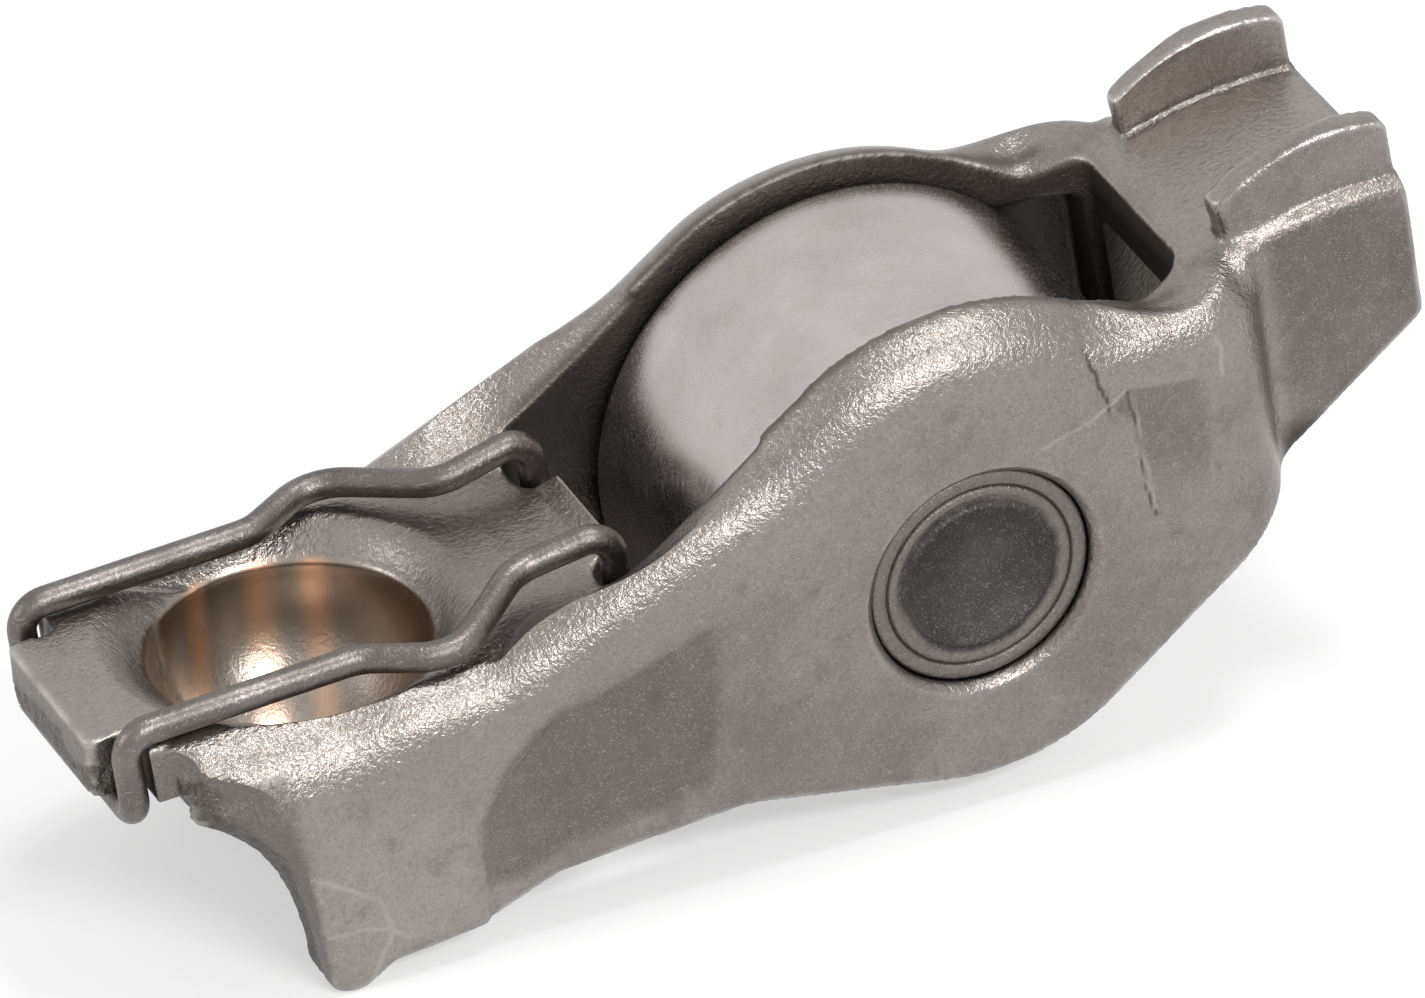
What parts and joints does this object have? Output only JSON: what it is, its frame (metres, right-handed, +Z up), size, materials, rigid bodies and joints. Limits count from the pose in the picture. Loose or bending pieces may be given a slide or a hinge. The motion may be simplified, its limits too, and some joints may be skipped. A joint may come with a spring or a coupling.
{
  "type": "roller rocker arm",
  "caption": "Pressed steel finger follower: a ball socket with a wire clip, a roller on a staked pin, and a crowned valve pad between two guide ears.",
  "frame": {"origin": "centre of the roller's pin, halfway between the two walls", "axes": "+X from the ball socket to the valve pad, +Y along the pin, +Z up, with the arm lying on its roller and the feet of both walls"},
  "size_m": [0.0481, 0.0144, 0.0201],
  "materials": {
    "pressed_steel": "satin, case-hardened sheet",
    "pin_steel": "satin, dark end faces",
    "ground_steel": "ground and polished",
    "wire_steel": "smooth drawn wire"
  },
  "bodies": {
    "arm": {"arm": "pressed_steel", "pin": "pin_steel", "clip": "wire_steel"},
    "roller": {"roller": "ground_steel"},
    "needle_row": {"needle_01": "ground_steel", "needle_02": "ground_steel", "needle_03": "ground_steel", "needle_04": "ground_steel", "needle_05": "ground_steel", "needle_06": "ground_steel", "needle_07": "ground_steel", "needle_08": "ground_steel", "needle_09": "ground_steel", "needle_10": "ground_steel", "needle_11": "ground_steel", "needle_12": "ground_steel", "needle_13": "ground_steel", "needle_14": "ground_steel", "needle_15": "ground_steel", "needle_16": "ground_steel", "needle_17": "ground_steel", "needle_18": "ground_steel", "needle_19": "ground_steel"}
  },
  "joints": [
    {"name": "roller_spin", "type": "hinge", "parent": "arm", "child": "roller", "pos_m": [0, 0, 0], "axis": [0, 1, 0], "continuous": true},
    {"name": "needle_orbit", "type": "hinge", "parent": "arm", "child": "needle_row", "pos_m": [0, 0, 0], "axis": [0, 1, 0], "continuous": true}
  ],
  "couplings": [
    {"joint": "needle_orbit", "follows": "roller_spin", "ratio": 0.5807}
  ]
}
